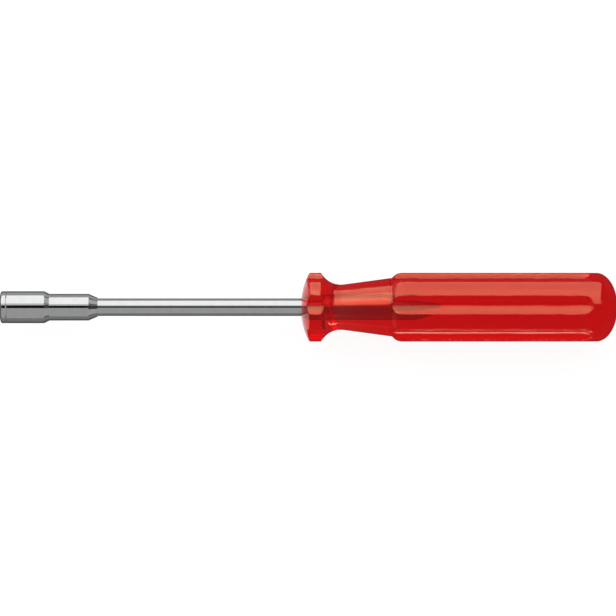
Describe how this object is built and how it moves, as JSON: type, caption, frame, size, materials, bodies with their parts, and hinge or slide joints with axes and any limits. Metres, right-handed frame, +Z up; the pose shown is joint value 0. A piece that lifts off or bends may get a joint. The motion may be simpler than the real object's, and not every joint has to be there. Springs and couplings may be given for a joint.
{
  "type": "bit driver handle",
  "caption": "Bit driver with a stepped magnetic hexagon bit holder on a round steel blade, in a fluted clear red plastic handle with a domed collar and a narrow neck.",
  "frame": {"origin": "centre of the magnet's face, on the tool's axis, where the end of a bit seats", "axes": "+X runs along the tool's axis from the bit holder's mouth towards the butt of the handle; the tool lies on its side, with +Z up through the middle of one flute and another flute facing down"},
  "size_m": [0.2048, 0.0228, 0.0228],
  "materials": {
    "handle_plastic": "gloss",
    "blade_steel": "satin",
    "holder_steel": "satin",
    "ring_steel": "satin",
    "magnet_plating": "gloss"
  },
  "bodies": {
    "root": {"bit_holder": "holder_steel", "retaining_ring": "ring_steel", "magnet": "magnet_plating", "blade": "blade_steel", "handle": "handle_plastic"}
  },
  "joints": []
}
